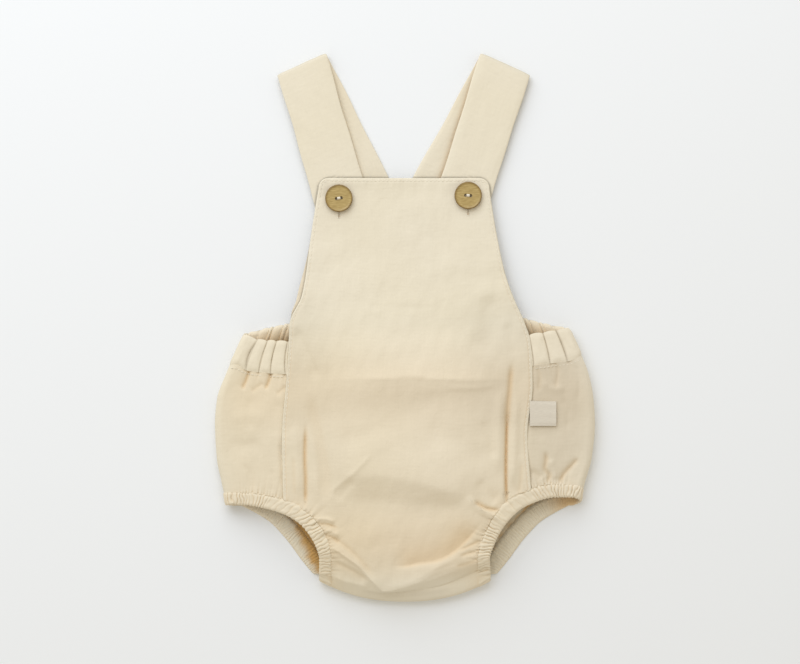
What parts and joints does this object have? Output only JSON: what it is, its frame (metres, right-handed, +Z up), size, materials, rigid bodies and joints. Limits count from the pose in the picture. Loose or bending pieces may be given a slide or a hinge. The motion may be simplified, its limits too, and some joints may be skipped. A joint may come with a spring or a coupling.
{
  "type": "short dungarees for a baby, laid flat",
  "caption": "Short baby dungarees in crinkled cotton gauze, laid flat on their back, with crossed straps buttoned to the bib and gathered waist and legs.",
  "frame": {"origin": "centre of the laid-out garment's outline, on the surface it lies on", "axes": "+X to the right of the garment as it is seen from above, +Y from the crotch to the shoulder folds, +Z up from the surface"},
  "size_m": [0.2773, 0.4006, 0.0265],
  "materials": {
    "gauze": "crinkled cream cotton double gauze, matt",
    "ribbon": "off-white cotton twill ribbon, blank",
    "button": "turned wood, satin"
  },
  "bodies": {
    "root": {"front_panel": "gauze", "back_panel": "gauze", "waistband": "gauze", "leg_casing_left": "gauze", "leg_casing_right": "gauze", "strap_left": "gauze", "strap_right": "gauze", "armhole_facing_left": "gauze", "side_label": "ribbon", "button_left": "button", "button_right": "button"}
  },
  "joints": []
}
